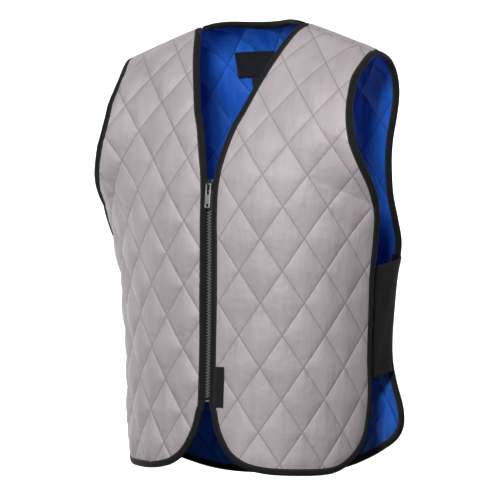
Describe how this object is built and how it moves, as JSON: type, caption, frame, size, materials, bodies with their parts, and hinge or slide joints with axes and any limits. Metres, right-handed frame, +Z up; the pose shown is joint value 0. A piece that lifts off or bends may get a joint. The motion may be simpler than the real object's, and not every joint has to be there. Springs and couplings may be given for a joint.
{
  "type": "cooling vest",
  "caption": "Sleeveless quilted cooling vest with a V neck, front zip, blue quilted lining, black bound edges and stretch side panels.",
  "frame": {"origin": "midway between the shoulders at the height of the middle of the shoulder seams, where the wearer or a hanger holds the vest up", "axes": "+Z up along the body, the front of the vest faces -Y, +X towards the wearer's left"},
  "size_m": [0.4474, 0.2489, 0.6568],
  "materials": {
    "shell": "pale silver-grey quilted nylon, soft sheen",
    "lining": "royal blue quilted lining",
    "binding": "matte black woven binding tape",
    "stretch": "matte black stretch knit",
    "tape": "matte black woven zip tape",
    "teeth": "black moulded teeth",
    "slider": "black enamelled slider",
    "pull": "satin silver pull",
    "label": "black woven label"
  },
  "bodies": {
    "vest": {"front_left_shell": "shell", "front_left_lining": "lining", "front_right_shell": "shell", "front_right_lining": "lining", "back_shell": "shell", "back_lining": "lining", "front_left_binding": "binding", "front_right_binding": "binding", "back_binding": "binding", "back_neck_binding": "binding", "side_panel_left": "stretch", "side_panel_right": "stretch", "zip_tape_left": "tape", "zip_tape_right": "tape", "zip_chain": "teeth", "zip_slider": "slider", "neck_label": "label", "size_tab": "label", "flag_label": "label"},
    "pull": {"zip_pull": "pull"}
  },
  "joints": [
    {"name": "pull_swing", "type": "hinge", "parent": "vest", "child": "pull", "pos_m": [0, -0.13692, -0.19698], "axis": [-1, 0, 0], "range_deg": [0, 150]}
  ]
}
